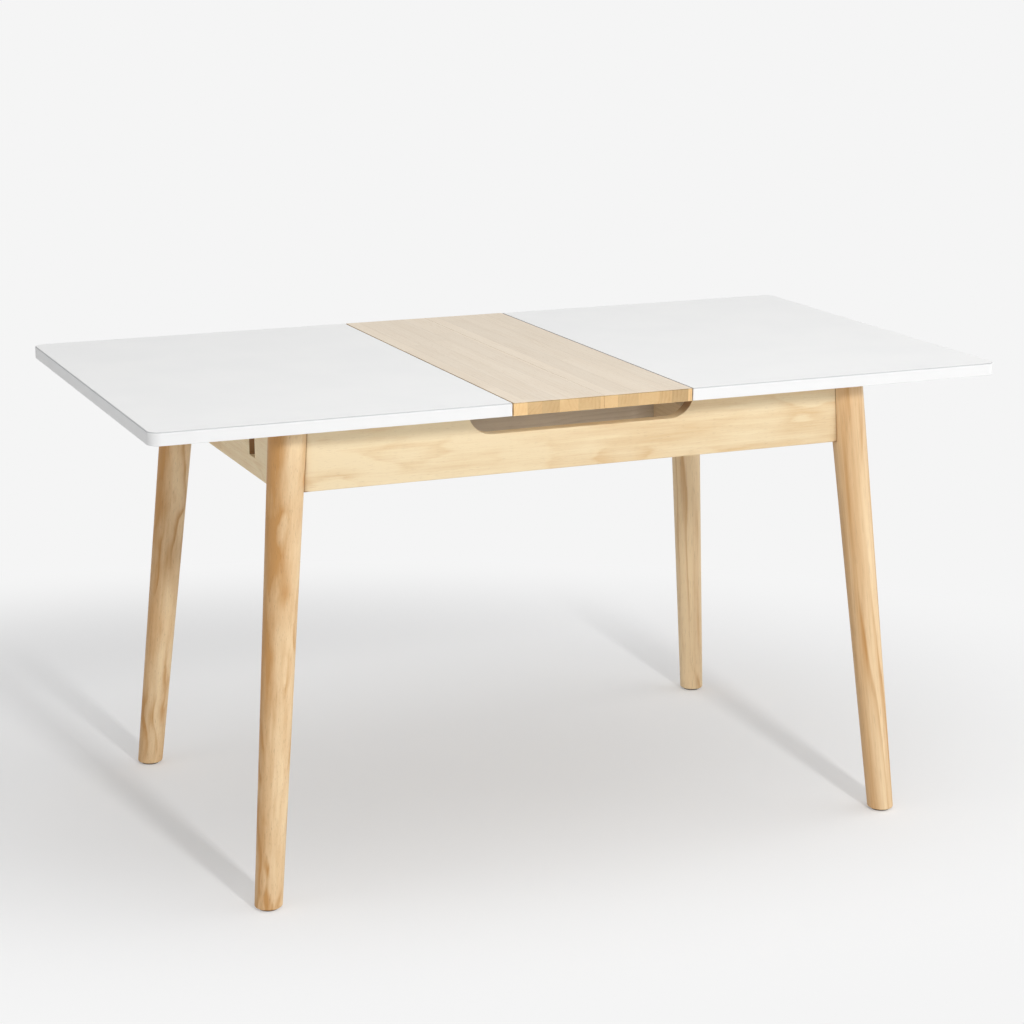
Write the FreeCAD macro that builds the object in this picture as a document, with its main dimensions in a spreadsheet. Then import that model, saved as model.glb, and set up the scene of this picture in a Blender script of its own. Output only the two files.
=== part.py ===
import FreeCAD, Part
import math
import os

# Butterfly leaf table, shown extended. Millimetres, +Z up, X along the table,
# the origin on the floor under the middle of the top.

doc = FreeCAD.newDocument("butterfly_table")
sheet = doc.addObject("Spreadsheet::Sheet", "sizes")

values = {
    # top
    "table_length": 1400,
    "table_depth": 750,
    "table_height": 750,
    "top_thickness": 20,
    "leaf_opening": 300,
    "leaf_gap": 2,
    "fold_gap": 0.3,
    "corner_radius": 18,
    "top_easing": 2.5,
    "under_easing": 1,
    "leaf_easing": 1,
    # aprons
    "end_overhang": 63,
    "side_overhang": 75,
    "apron_thickness": 22,
    "apron_height": 103,
    "apron_below_top": 2,
    "apron_easing": 2,
    "front_apron_set_in": 30,
    "end_apron_set_in": 28,
    "scoop_radius": 40,
    "leaf_drop": 41,
    "drop_clearance": 1,
    # legs
    "leg_set_in_x": 17.7,
    "leg_set_in_y": 14.8,
    "leg_splay_x": 65,
    "leg_splay_y": 59.2,
    "leg_top_radius": 28.6,
    "leg_foot_radius": 21.2,
    "foot_easing": 3,
    "glide_radius": 15,
    "glide_thickness": 3,
    # corner blocks and bolts
    "corner_block_behind": 51.6,
    "corner_block_thickness": 25,
    "corner_block_width": 110,
    "corner_block_height": 62,
    "corner_block_above": 25,
    "bolt_radius": 3,
    "bolt_tail": 4,
    "bolt_spacing": 30,
    "washer_radius": 9,
    "washer_thickness": 1.6,
    "nut_radius": 5.8,
    "nut_thickness": 5,
    # cross rails and guide beams
    "rail_set_out": 45,
    "rail_thickness": 22,
    "rail_above_runner": 15,
    "rail_below_runner": 19,
    "rail_tenon": 8,
    "beam_set_in": 36,
    "beam_width": 36,
    "beam_height": 44,
    "beam_below_scoop": 4,
    "beam_tenon": 8,
    # runners
    "runner_width": 24,
    "runner_height": 30,
    "runner_below_scoop": 3,
    "runner_set_in": 118,
    "runner_spacing": 38,
    "runner_end_room": 5,
    "runner_past_apron": 35,
    "runner_clearance": 0.3,
    "slot_clearance": 1.5,
    "spacer_length": 120,
    "over_travel": 30,
    "stop_radius": 4,
    "stop_proud": 6,
    "screw_radius": 2.25,
    "screw_head_radius": 4.5,
    "screw_head_height": 3,
    "screw_bite": 12,
    # lift posts
    "post_radius": 6,
    "post_engaged": 18,
    "post_clearance": 0.05,
    "plate_length": 60,
    "plate_width": 40,
    "plate_thickness": 3,
    "plate_screw_inset": 8,
    "bush_wall": 4,
    "bush_flange_wall": 8,
    "bush_flange_thickness": 1.5,
    "catch_radius": 4,
    "catch_below_beam": 8,
    "catch_nose": 4,
    "catch_nose_radius": 1.5,
    "catch_head_radius": 6,
    "catch_head_thickness": 3,
    "catch_clearance": 0.3,
    # concealed hinges
    "cup_radius": 7,
    "cup_depth": 18,
    "cup_cover": 2,
    "cup_slot_width": 6,
    "cup_slot_height": 9,
    "cup_slot_depth": 13,
    # slip pads
    "pad_radius": 8,
    "pad_clearance": 0.2,
    "pad_from_rail": 45,
    "pad_from_end": 57,
    "pad_y": 70,
}
row = 1
for alias, value in values.items():
    sheet.set("A%d" % row, alias)
    sheet.set("B%d" % row, str(value))
    sheet.setAlias("B%d" % row, alias)
    row = row + 1

# levels and faces that several pieces share
derived = {
    "top_under": "=table_height - top_thickness",
    "half_length": "=(table_length - leaf_opening) / 2",
    "leaf_half": "=leaf_opening / 2 - leaf_gap - fold_gap / 2",
    "frame_length": "=table_length - leaf_opening - 2 * end_overhang",
    "frame_depth": "=table_depth - 2 * side_overhang",
    "apron_top": "=top_under - apron_below_top",
    "apron_bottom": "=apron_top - apron_height",
    "front_apron_length": "=frame_length - 2 * front_apron_set_in",
    "end_apron_length": "=frame_depth - 2 * end_apron_set_in",
    "front_inner": "=frame_depth / 2 - apron_thickness",
    "end_inner": "=frame_length / 2 - apron_thickness",
    "scoop_floor": "=top_under - leaf_drop - drop_clearance",
    "leg_top_x": "=frame_length / 2 - leg_set_in_x",
    "leg_top_y": "=frame_depth / 2 - leg_set_in_y",
    "leg_foot_x": "=leg_top_x + leg_splay_x",
    "leg_foot_y": "=leg_top_y + leg_splay_y",
    "corner_block_bottom": "=apron_bottom + corner_block_above",
    "bolt_low": "=corner_block_bottom + (corner_block_height - bolt_spacing) / 2",
    "bolt_high": "=bolt_low + bolt_spacing",
    "bolt_length": "=corner_block_behind + washer_thickness + nut_thickness + bolt_tail",
    "runner_top": "=scoop_floor - runner_below_scoop",
    "runner_bottom": "=runner_top - runner_height",
    "runner_near_end": "=end_inner - over_travel - runner_end_room",
    "runner_far_end": "=frame_length / 2 + runner_past_apron - leaf_opening / 2",
    "runner_length": "=runner_far_end + runner_near_end",
    "beam_top": "=scoop_floor - beam_below_scoop",
    "beam_bottom": "=beam_top - beam_height",
    "outer_runner_y": "=front_inner - runner_set_in",
    "inner_runner_y": "=outer_runner_y - runner_spacing",
    "beam_centre": "=inner_runner_y - beam_set_in",
    "rail_centre": "=leaf_opening / 2 + rail_set_out",
    "rail_inner": "=rail_centre - rail_thickness / 2",
    "rail_outer": "=rail_centre + rail_thickness / 2",
    "rail_bottom": "=runner_bottom - rail_below_runner",
    "rail_height": "=rail_below_runner + runner_height + rail_above_runner",
    "post_x": "=fold_gap / 2 + leaf_half / 2",
    "post_bottom": "=beam_top - post_engaged",
    "bush_radius": "=post_radius + bush_wall",
    "bush_flange_radius": "=post_radius + bush_flange_wall",
    "catch_height": "=beam_top - catch_below_beam",
    "cup_level": "=table_height - cup_cover - cup_radius",
    "hinge_spacing": "=table_depth / 3",
    "pad_x_near": "=rail_centre + pad_from_rail",
    "pad_x_far": "=front_apron_length / 2 - pad_from_end",
}
for alias, formula in derived.items():
    sheet.set("A%d" % row, alias)
    sheet.set("B%d" % row, formula)
    sheet.setAlias("B%d" % row, alias)
    row = row + 1
doc.recompute()

nodes = []


def size(alias):
    return float(sheet.get(alias))


def linked(text):
    # puts the sheet's name in front of every alias of an expression
    words = []
    for word in str(text).replace("(", " ( ").replace(")", " ) ").split():
        words.append("sizes." + word if word[0].isalpha() else word)
    return " ".join(words)


def place(item, x, y, z):
    item.setExpression("Placement.Base.x", linked(x))
    item.setExpression("Placement.Base.y", linked(y))
    item.setExpression("Placement.Base.z", linked(z))
    return item


def box(name, length, width, height, x, y, z):
    item = doc.addObject("Part::Box", name)
    item.setExpression("Length", linked(length))
    item.setExpression("Width", linked(width))
    item.setExpression("Height", linked(height))
    return place(item, x, y, z)


def cylinder(name, radius, height, x, y, z, direction=(0, 0, 1)):
    item = doc.addObject("Part::Cylinder", name)
    item.setExpression("Radius", linked(radius))
    item.setExpression("Height", linked(height))
    turn = FreeCAD.Rotation(FreeCAD.Vector(0, 0, 1), FreeCAD.Vector(*direction))
    item.Placement = FreeCAD.Placement(FreeCAD.Vector(0, 0, 0), turn)
    return place(item, x, y, z)


def cone(name, radius, end_radius, height, x, y, z, direction=(0, 0, 1)):
    item = doc.addObject("Part::Cone", name)
    item.setExpression("Radius1", linked(radius))
    item.setExpression("Radius2", linked(end_radius))
    item.setExpression("Height", linked(height))
    turn = FreeCAD.Rotation(FreeCAD.Vector(0, 0, 1), FreeCAD.Vector(*direction))
    item.Placement = FreeCAD.Placement(FreeCAD.Vector(0, 0, 0), turn)
    return place(item, x, y, z)


def fuse(name, pieces):
    item = doc.addObject("Part::MultiFuse", name)
    item.Shapes = pieces
    return item


def group(name, pieces):
    item = doc.addObject("Part::Compound", name)
    item.Links = pieces
    return item


def cut(name, base, tools):
    item = base
    for number, tool in enumerate(tools, 1):
        last = number == len(tools)
        step = doc.addObject("Part::Cut", name if last else "%s_cut_%d" % (name, number))
        step.Base = item
        step.Tool = tool
        item = step
    return item


def common(name, base, tool):
    item = doc.addObject("Part::Common", name)
    item.Base = base
    item.Tool = tool
    return item


def rounded(name, base, radius_of):
    # radius_of gives an edge's rounding from its box, or 0 to leave it sharp
    doc.recompute()
    item = doc.addObject("Part::Fillet", name)
    item.Base = base
    chosen = []
    for number, edge in enumerate(base.Shape.Edges, 1):
        radius = radius_of(edge.BoundBox)
        if radius > 0:
            chosen.append((number, radius, radius))
    item.Edges = chosen
    return item


def node(item, name):
    item.Label = name
    nodes.append(item)
    return item


def flat_at(bound, level):
    return bound.ZLength < 0.001 and abs(bound.ZMin - level) < 0.001


def wood_screw(name, x, y, z, bite):
    # countersunk screw driven upwards, its head flush with the level z
    shank = cylinder(name + "_shank", "screw_radius", bite, x, y, z)
    head = cone(name + "_head", "screw_head_radius", "screw_radius", "screw_head_height", x, y, z)
    return fuse(name, [shank, head])


def lower_edges(bound):
    # the two long lower edges of an apron board
    long_edge = max(bound.XLength, bound.YLength) > 2 * size("apron_thickness")
    return size("apron_easing") if long_edge and flat_at(bound, size("apron_bottom")) else 0


sides = {"left": -1, "right": 1}
ends = {"front": -1, "back": 1}

# the four apron boards, their ends housed in the legs
apron_blanks = {}
for end, sign in ends.items():
    board = box(end + "_apron_board", "front_apron_length", "apron_thickness", "apron_height",
                "-1 * front_apron_length / 2",
                "%d * (frame_depth / 2 - apron_thickness / 2) - apron_thickness / 2" % sign,
                "apron_bottom")
    apron_blanks[end] = rounded(end + "_apron_eased", board, lower_edges)
for side, sign in sides.items():
    board = box(side + "_apron_board", "apron_thickness", "end_apron_length", "apron_height",
                "%d * (frame_length / 2 - apron_thickness / 2) - apron_thickness / 2" % sign,
                "-1 * end_apron_length / 2", "apron_bottom")
    apron_blanks[side] = rounded(side + "_apron_eased", board, lower_edges)

# cross rails between the front and back aprons, and guide beams between the rails
rail_blanks = {}
for side, sign in sides.items():
    rail_blanks[side] = box("rail_board_" + side, "rail_thickness", "2 * front_inner + 2 * rail_tenon",
                            "rail_height", "%d * rail_centre - rail_thickness / 2" % sign,
                            "-1 * front_inner - rail_tenon", "rail_bottom")
beam_blanks = {}
for end, sign in ends.items():
    beam_blanks[end] = box("beam_board_" + end, "2 * rail_inner + 2 * beam_tenon", "beam_width",
                           "beam_height", "-1 * rail_inner - beam_tenon",
                           "%d * beam_centre - beam_width / 2" % sign, "beam_bottom")

# scoop in the top edge of the front and back aprons, a flat floor with round ends
for end, sign in ends.items():
    trough = box("scoop_block_" + end, "leaf_opening + 2 * scoop_radius", "apron_thickness + 20",
                 "2 * scoop_radius", "-1 * leaf_opening / 2 - scoop_radius",
                 "%d * (frame_depth / 2 - apron_thickness / 2) - apron_thickness / 2 - 10" % sign,
                 "scoop_floor")
    scoop = rounded(
        "scoop_" + end, trough,
        lambda b: size("scoop_radius") if flat_at(b, size("scoop_floor")) and b.XLength < 0.001 else 0)
    apron = cut(end + "_apron", apron_blanks[end], [scoop, rail_blanks["left"], rail_blanks["right"]])
    node(apron, end + "_apron")

# each half's runners stand on their own line: the right half's outside, the left half's inside
line_of = {"left": "inner_runner_y", "right": "outer_runner_y"}
other = {"left": "right", "right": "left"}

# a slot in each end apron lets the far half's runners in when the table is closed
for side, sign in sides.items():
    slots = []
    for end, across in ends.items():
        slots.append(box("slot_%s_%s" % (side, end), "apron_thickness + 20",
                         "runner_width + 2 * slot_clearance", "runner_height + 2 * slot_clearance",
                         "%d * (frame_length / 2 - apron_thickness / 2) - apron_thickness / 2 - 10" % sign,
                         "%d * %s - runner_width / 2 - slot_clearance" % (across, line_of[other[side]]),
                         "runner_bottom - slot_clearance"))
    node(cut(side + "_apron", apron_blanks[side], slots), side + "_apron")

# cross rails: closed holes for the far half's runners, open notches for the near half's
for side, sign in sides.items():
    tools = [beam_blanks["front"], beam_blanks["back"]]
    for end, across in ends.items():
        tools.append(box("rail_hole_%s_%s" % (side, end), "rail_thickness + 20",
                         "runner_width + 2 * runner_clearance", "runner_height + 2 * runner_clearance",
                         "%d * rail_centre - rail_thickness / 2 - 10" % sign,
                         "%d * %s - runner_width / 2 - runner_clearance" % (across, line_of[other[side]]),
                         "runner_bottom - runner_clearance"))
        tools.append(box("rail_notch_%s_%s" % (side, end), "rail_thickness + 20",
                         "runner_width + 2 * runner_clearance", "rail_height",
                         "%d * rail_centre - rail_thickness / 2 - 10" % sign,
                         "%d * %s - runner_width / 2 - runner_clearance" % (across, line_of[side]),
                         "runner_bottom - runner_clearance"))
    node(cut("cross_rail_" + side, rail_blanks[side], tools), "cross_rail_" + side)

# flanged bushes in the beams guide the lift posts, and a spring catch presses on each post
catches = []
for end, sign in ends.items():
    inward = (0, sign, 0)
    body = cylinder("catch_body_" + end, "catch_radius",
                    "beam_width / 2 - post_radius - catch_clearance - catch_nose", "post_x",
                    "%d * (beam_centre - beam_width / 2)" % sign, "catch_height", inward)
    nose = cone("catch_nose_" + end, "catch_radius", "catch_nose_radius", "catch_nose", "post_x",
                "%d * (beam_centre - post_radius - catch_clearance - catch_nose)" % sign,
                "catch_height", inward)
    head = cylinder("catch_head_" + end, "catch_head_radius", "catch_head_thickness", "post_x",
                    "%d * (beam_centre - beam_width / 2 - catch_head_thickness)" % sign,
                    "catch_height", inward)
    catches.append(fuse("catch_" + end, [body, nose, head]))
post_catches = node(group("post_catches", catches), "post_catches")
for end, sign in ends.items():
    barrel = cylinder("bush_barrel_" + end, "bush_radius", "beam_height", "post_x",
                      "%d * beam_centre" % sign, "beam_bottom")
    flange = cylinder("bush_flange_" + end, "bush_flange_radius", "bush_flange_thickness", "post_x",
                      "%d * beam_centre" % sign, "beam_top")
    bore = cylinder("bush_bore_" + end, "post_radius + post_clearance", "beam_height + 20", "post_x",
                    "%d * beam_centre" % sign, "beam_bottom - 10")
    solid = fuse("bush_solid_" + end, [barrel, flange])
    node(cut("guide_bush_" + end, solid, [bore, post_catches]), "guide_bush_" + end)
    node(cut("guide_beam_" + end, beam_blanks[end], [barrel, post_catches]), "guide_beam_" + end)

# legs: cones leaning out both ways, cut level at the top and above the glides
glides = []
for end, across in ends.items():
    for side, sign in sides.items():
        corner = "%s_%s" % (end, side)
        foot = FreeCAD.Vector(sign * size("leg_foot_x"), across * size("leg_foot_y"), 0)
        head = FreeCAD.Vector(sign * size("leg_top_x"), across * size("leg_top_y"), size("top_under"))
        lean = head - foot
        taper = (size("leg_top_radius") - size("leg_foot_radius")) / lean.Length
        spare = 40
        start = foot - lean * (spare / lean.Length)
        stem = doc.addObject("Part::Cone", "leg_stem_" + corner)
        stem.setExpression("Radius1", "sizes.leg_foot_radius - %r" % (taper * spare))
        stem.setExpression("Radius2", "sizes.leg_top_radius + %r" % (taper * spare))
        stem.Height = lean.Length + 2 * spare
        stem.Placement = FreeCAD.Placement(start, FreeCAD.Rotation(FreeCAD.Vector(0, 0, 1), lean))
        slab = box("leg_slab_" + corner, "4 * leg_foot_x", "4 * leg_foot_y", "apron_top - glide_thickness",
                   "-2 * leg_foot_x", "-2 * leg_foot_y", "glide_thickness")
        level = common("leg_level_" + corner, stem, slab)
        shaped = rounded(
            "leg_shaped_" + corner, level,
            lambda b: size("foot_easing") if flat_at(b, size("glide_thickness")) else 0)

        # the corner block fills the angle of the aprons behind the leg and is hollowed to fit it
        angle = math.degrees(math.atan2(across, sign))
        outward = FreeCAD.Vector(sign, across, 0).normalize()
        mid = (size("bolt_low") + size("bolt_high")) / 2
        centre = foot + lean * (mid / lean.z)
        aside = FreeCAD.Vector(-outward.y, outward.x, 0)
        offset = centre.dot(aside)
        reach = centre.dot(outward) - size("corner_block_behind")
        bar = doc.addObject("Part::Box", "corner_bar_" + corner)
        bar.setExpression("Length", "sizes.corner_block_thickness")
        bar.setExpression("Width", "sizes.corner_block_width")
        bar.setExpression("Height", "sizes.corner_block_height")
        base = outward * reach + aside * (offset - size("corner_block_width") / 2)
        base.z = size("corner_block_bottom")
        bar.Placement = FreeCAD.Placement(base, FreeCAD.Rotation(FreeCAD.Vector(0, 0, 1), angle))
        room = box("corner_room_" + corner, "end_inner", "front_inner", "corner_block_height",
                   "0" if sign > 0 else "-1 * end_inner", "0" if across > 0 else "-1 * front_inner",
                   "corner_block_bottom")

        # two hanger bolts per corner, each with a washer and a nut on the inside of the block
        bolts = []
        for mark in ("low", "high"):
            face = outward * reach + aside * offset
            tail = face - outward * (size("washer_thickness") + size("nut_thickness") + size("bolt_tail"))
            level_name = "bolt_" + mark
            shank = cylinder("%s_%s" % (level_name, corner), "bolt_radius", "bolt_length",
                             "%r" % tail.x, "%r" % tail.y, level_name, tuple(outward))
            seat = face - outward * size("washer_thickness")
            washer = cylinder("washer_%s_%s" % (mark, corner), "washer_radius", "washer_thickness",
                              "%r" % seat.x, "%r" % seat.y, level_name, tuple(outward))
            under = seat - outward * size("nut_thickness")
            nut = doc.addObject("Part::Prism", "nut_%s_%s" % (mark, corner))
            nut.Polygon = 6
            nut.setExpression("Circumradius", "sizes.nut_radius")
            nut.setExpression("Height", "sizes.nut_thickness")
            turn = FreeCAD.Rotation(FreeCAD.Vector(0, 0, 1), outward)
            nut.Placement = FreeCAD.Placement(FreeCAD.Vector(0, 0, 0), turn)
            place(nut, "%r" % under.x, "%r" % under.y, level_name)
            bolts.append(fuse("bolt_set_%s_%s" % (mark, corner), [shank, washer, nut]))
        leg_bolts = node(group("leg_bolts_" + corner, bolts), "leg_bolts_" + corner)
        wedge = common("corner_wedge_" + corner, bar, room)
        node(cut("corner_block_" + corner, wedge, [stem, leg_bolts]), "corner_block_" + corner)
        node(cut("leg_" + corner, shaped, [apron_blanks[end], apron_blanks[side], leg_bolts]),
             "leg_" + corner)
        level_foot = foot + lean * (size("glide_thickness") / lean.z)
        glides.append(cylinder("glide_" + corner, "glide_radius", "glide_thickness",
                               "%r" % level_foot.x, "%r" % level_foot.y, "0"))
node(group("foot_glides", glides), "foot_glides")

# slip pads on the top edges of the aprons
pads = []
for end, across in ends.items():
    for side, sign in sides.items():
        for spot in ("pad_x_near", "pad_x_far"):
            pads.append(cylinder("pad_%s_%s_%s" % (spot, end, side), "pad_radius",
                                 "apron_below_top - pad_clearance", "%d * %s" % (sign, spot),
                                 "%d * (frame_depth / 2 - apron_thickness / 2)" % across, "apron_top"))
        pads.append(cylinder("pad_end_%s_%s" % (end, side), "pad_radius",
                             "apron_below_top - pad_clearance",
                             "%d * (frame_length / 2 - apron_thickness / 2)" % sign,
                             "%d * pad_y" % across, "apron_top"))
node(group("slip_pads", pads), "slip_pads")

# the two halves of the top, each hung on two runners
for side, sign in sides.items():
    screws = []
    stops = []
    runners = []
    for end, across in ends.items():
        name = "%s_%s" % (side, end)
        middle = "%d * %s" % (across, line_of[side])
        near = "%d * (runner_near_end - (%s))"
        spots = [near % (sign, "spacer_length / 5"), near % (sign, "spacer_length * 4 / 5")]
        for number, spot in enumerate(spots, 1):
            screws.append(wood_screw("screw_%s_%d" % (name, number), spot, middle, "runner_bottom",
                                     "top_under + screw_bite - runner_bottom"))
        stops.append(cylinder("stop_" + name, "stop_radius", "runner_height + 2 * stop_proud",
                              "%d * (rail_outer + over_travel + runner_clearance + stop_radius)" % -sign,
                              middle, "runner_bottom - stop_proud"))
        bar = box("runner_bar_" + name, "runner_length", "runner_width", "runner_height",
                  "-1 * runner_far_end" if sign > 0 else "-1 * runner_near_end",
                  middle + " - runner_width / 2", "runner_bottom")
        spacer = box("spacer_block_" + name, "spacer_length", "runner_width", "top_under - runner_top",
                     "runner_near_end - spacer_length" if sign > 0 else "-1 * runner_near_end",
                     middle + " - runner_width / 2", "runner_top")
        runners.append((name, bar, spacer))
    runner_screws = node(group("runner_screws_" + side, screws), "runner_screws_" + side)
    runner_stops = node(group("runner_stops_" + side, stops), "runner_stops_" + side)
    for name, bar, spacer in runners:
        node(cut("runner_" + name, bar, [runner_screws, runner_stops]), "runner_" + name)
        node(cut("spacer_" + name, spacer, [runner_screws]), "spacer_" + name)

    board = box("top_board_" + side, "half_length", "table_depth", "top_thickness",
                "leaf_opening / 2" if sign > 0 else "-1 * table_length / 2",
                "-1 * table_depth / 2", "top_under")
    inside = size("leaf_opening") / 2
    cornered = rounded(
        "top_cornered_" + side, board,
        lambda b: size("corner_radius") if b.ZLength > 1 and abs(b.XMin) > inside + 1 else 0)

    def easing(b):
        if b.XLength < 0.001 and abs(abs(b.XMin) - inside) < 0.001:
            return 0
        if flat_at(b, size("table_height")):
            return size("top_easing")
        return size("under_easing") if flat_at(b, size("top_under")) else 0

    eased = rounded("top_eased_" + side, cornered, easing)
    node(cut("top_" + side, eased, [runner_screws]), "top_" + side)

# lift posts: a rod on a plate screwed under the leaf's right half
posts = []
plate_screw_list = []
for end, across in ends.items():
    rod = cylinder("post_rod_" + end, "post_radius", "top_under - post_bottom", "post_x",
                   "%d * beam_centre" % across, "post_bottom")
    plate = box("post_plate_" + end, "plate_length", "plate_width", "plate_thickness",
                "post_x - plate_length / 2", "%d * beam_centre - plate_width / 2" % across,
                "top_under - plate_thickness")
    posts.append((end, fuse("post_solid_" + end, [rod, plate])))
    for dx in (-1, 1):
        for dy in (-1, 1):
            plate_screw_list.append(wood_screw(
                "plate_screw_%s_%d_%d" % (end, dx + 1, dy + 1),
                "post_x + %d * (plate_length / 2 - plate_screw_inset)" % dx,
                "%d * beam_centre + %d * (plate_width / 2 - plate_screw_inset)" % (across, dy),
                "top_under - plate_thickness", "plate_thickness + screw_bite"))
plate_screws = node(group("plate_screws", plate_screw_list), "plate_screws")
for end, solid in posts:
    node(cut("lift_post_" + end, solid, [plate_screws]), "lift_post_" + end)

# the leaf's two halves, joined by concealed hinges in their meeting edges
for side, sign in sides.items():
    cups = []
    for spot in (-1, 0, 1):
        mark = "%s_%d" % (side, spot + 2)
        cup = cylinder("cup_" + mark, "cup_radius", "cup_depth", "%d * fold_gap / 2" % sign,
                       "%d * hinge_spacing" % spot, "cup_level", (sign, 0, 0))
        pocket = box("cup_pocket_" + mark, "2 * cup_slot_depth", "cup_slot_width", "cup_slot_height",
                     "%d * fold_gap / 2 - cup_slot_depth" % sign,
                     "%d * hinge_spacing - cup_slot_width / 2" % spot,
                     "cup_level - cup_slot_height / 2")
        cups.append((cup, cut("hinge_cup_" + mark, cup, [pocket])))
    node(group("hinge_cups_" + side, [pair[1] for pair in cups]), "hinge_cups_" + side)
    board = box("leaf_board_" + side, "leaf_half", "table_depth", "top_thickness",
                "fold_gap / 2" if sign > 0 else "-1 * fold_gap / 2 - leaf_half",
                "-1 * table_depth / 2", "top_under")

    def leaf_edges(b):
        if b.XLength < 0.001 and abs(b.XMin) < 1:
            return 0
        return size("leaf_easing") if flat_at(b, size("table_height")) else 0

    eased = rounded("leaf_eased_" + side, board, leaf_edges)
    tools = [pair[0] for pair in cups]
    if side == "right":
        tools.append(plate_screws)
    node(cut("leaf_" + side, eased, tools), "leaf_" + side)

doc.recompute()

for item in doc.Objects:
    for flag in item.State:
        if flag in ("Invalid", "Error"):
            raise RuntimeError("%s is in state %s" % (item.Name, flag))
os.makedirs("parts", exist_ok=True)
for item in nodes:
    if item.Shape.isNull() or not item.Shape.isValid():
        raise RuntimeError("%s has no valid shape" % item.Label)
    item.Shape.exportStep("parts/%s.step" % item.Label)
    bound = item.Shape.BoundBox
    print("%-26s solids %d volume %.0f  x %.1f %.1f  y %.1f %.1f  z %.1f %.1f" % (
        item.Label, len(item.Shape.Solids), item.Shape.Volume, bound.XMin, bound.XMax,
        bound.YMin, bound.YMax, bound.ZMin, bound.ZMax))
print("nodes", len(nodes))
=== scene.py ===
import math

import bmesh
import bpy
import numpy as np
from mathutils import Matrix, Vector


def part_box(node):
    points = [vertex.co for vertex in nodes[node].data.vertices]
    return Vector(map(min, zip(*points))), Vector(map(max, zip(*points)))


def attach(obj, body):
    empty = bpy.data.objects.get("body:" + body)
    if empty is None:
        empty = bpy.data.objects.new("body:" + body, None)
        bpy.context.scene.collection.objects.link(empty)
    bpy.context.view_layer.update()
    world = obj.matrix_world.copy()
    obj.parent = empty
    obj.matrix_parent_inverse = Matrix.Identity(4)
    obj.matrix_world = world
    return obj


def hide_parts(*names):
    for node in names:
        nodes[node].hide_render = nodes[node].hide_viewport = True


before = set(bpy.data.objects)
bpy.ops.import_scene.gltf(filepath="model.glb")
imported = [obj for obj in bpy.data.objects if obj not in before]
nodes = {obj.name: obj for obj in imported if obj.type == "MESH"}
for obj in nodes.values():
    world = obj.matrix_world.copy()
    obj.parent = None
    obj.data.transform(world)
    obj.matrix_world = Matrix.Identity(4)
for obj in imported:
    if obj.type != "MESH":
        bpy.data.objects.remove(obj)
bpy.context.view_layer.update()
sides = {"left": -1, "right": 1}
ends = {"front": -1, "back": 1}
print("frame loaded with", len(nodes), "nodes")


def addNode(tree, kind, **settings):
    node = tree.nodes.new(kind)
    for key, value in settings.items():
        setattr(node, key, value)
    return node


def feed(tree, socket, value):
    # value is another node's output or a plain number, vector or colour
    if isinstance(value, bpy.types.NodeSocket):
        tree.links.new(value, socket)
    else:
        socket.default_value = value


def calc(tree, operation, first, second=0.0, third=0.0):
    node = addNode(tree, "ShaderNodeMath", operation=operation)
    for socket, value in zip(node.inputs, (first, second, third)):
        feed(tree, socket, value)
    return node.outputs["Value"]


def calcVector(tree, operation, first, second=(0, 0, 0)):
    node = addNode(tree, "ShaderNodeVectorMath", operation=operation)
    feed(tree, node.inputs[0], first)
    feed(tree, node.inputs["Scale" if operation == "SCALE" else 1], second)
    return node.outputs["Value" if operation == "LENGTH" else "Vector"]


def noiseAt(tree, vector, stretch, detail=2.0, roughness=0.5, output="Fac"):
    # cloud noise round 0.5, finer along an axis with a larger stretch
    node = addNode(tree, "ShaderNodeTexNoise")
    feed(tree, node.inputs["Vector"], calcVector(tree, "MULTIPLY", vector, stretch))
    feed(tree, node.inputs["Scale"], 1.0)
    feed(tree, node.inputs["Detail"], detail)
    feed(tree, node.inputs["Roughness"], roughness)
    return node.outputs[output]


def spread(tree, value, low, high, newLow=0.0, newHigh=1.0, smooth=True):
    # maps low..high to newLow..newHigh and holds the ends
    node = addNode(tree, "ShaderNodeMapRange", interpolation_type="SMOOTHSTEP" if smooth else "LINEAR")
    for name, item in (("Value", value), ("From Min", low), ("From Max", high),
                       ("To Min", newLow), ("To Max", newHigh)):
        feed(tree, node.inputs[name], item)
    return node.outputs["Result"]


def blendColours(tree, share, first, second):
    node = addNode(tree, "ShaderNodeMix", data_type="RGBA")
    feed(tree, node.inputs["Factor"], share)
    feed(tree, node.inputs["A"], first)
    feed(tree, node.inputs["B"], second)
    return node.outputs["Result"]


def newGroup(name, inputs, outputs):
    kinds = {"value": "NodeSocketFloat", "vector": "NodeSocketVector", "colour": "NodeSocketColor"}
    group = bpy.data.node_groups.new(name, "ShaderNodeTree")
    for label, kind in inputs.items():
        group.interface.new_socket(label, in_out="INPUT", socket_type=kinds[kind])
    for label, kind in outputs.items():
        group.interface.new_socket(label, in_out="OUTPUT", socket_type=kinds[kind])
    return group, group.nodes.new("NodeGroupInput").outputs, group.nodes.new("NodeGroupOutput").inputs


# the stretch of each noise along the grain and across it, its shift, and how its values are used
grainPattern = {"wander": (4.5, 8, 8),
                "jitter": (7, 60, 60), "jitterDepth": 1.1,
                "ringRise": 1.8, "ringFall": 0.25, "ringFull": 0.85,
                "strength": (4.0, 26, 26), "strengthRange": (0.38, 0.68),
                "fibre": (13, 480, 480), "fibreCrispness": 0.62, "fibreHeight": 0.5,
                "patch": (7.0, 38, 38), "patchShift": (3.1, 1.7, 0.4),
                "streak": (4.5, 150, 150), "streakShift": (1.3, 0.2, 2.6),
                "pore": (75, 1500, 1500), "poreRange": (0.62, 0.74), "poreRoughness": 0.1,
                "toneRange": (-0.3, 0.9), "fibreRange": (0.3, 0.7), "roughness": (0.5, 0.62)}


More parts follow.
